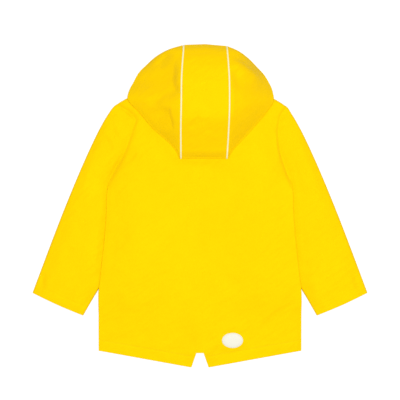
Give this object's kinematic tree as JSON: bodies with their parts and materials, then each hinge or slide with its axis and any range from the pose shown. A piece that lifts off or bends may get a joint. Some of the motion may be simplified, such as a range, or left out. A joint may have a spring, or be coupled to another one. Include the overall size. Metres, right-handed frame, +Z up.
{
  "type": "child's hooded softshell jacket",
  "caption": "Child's hooded softshell jacket laid flat face down, back up, with the piped three-panel hood lying over the upper back and a slit fishtail hem.",
  "frame": {"origin": "on the table under the middle of the laid jacket", "axes": "+Z up from the table, +Y from the hem towards the hood, +X across the jacket towards the sleeve on the right of its back"},
  "size_m": [0.6328, 0.6121, 0.0409],
  "materials": {
    "softshell": "matte three-layer softshell, smooth fine knit face, plain yellow",
    "reflective": "off-white retro-reflective coated cloth, slight sheen",
    "zip_tape": "woven polyester zip tape and moulded chain",
    "zip_metal": "lacquered cast zip slider, pull and stop"
  },
  "bodies": {
    "root": {"back": "softshell", "front_left": "softshell", "front_right": "softshell", "sleeve_left": "softshell", "sleeve_right": "softshell", "hood_center": "softshell", "hood_left": "softshell", "hood_right": "softshell", "hood_end_left": "softshell", "hood_end_right": "softshell", "piping_left": "reflective", "piping_right": "reflective", "badge": "reflective", "zip_tape_left": "zip_tape", "zip_tape_right": "zip_tape", "zip_chain": "zip_tape", "zip_stop": "zip_metal", "zip_slider": "zip_metal"},
    "pull": {"zip_pull": "zip_metal"}
  },
  "joints": [
    {"name": "pull_hinge", "type": "hinge", "parent": "root", "child": "pull", "pos_m": [0, 0.143, 0.0009], "axis": [1, 0, 0], "range_deg": [0, 170]}
  ]
}
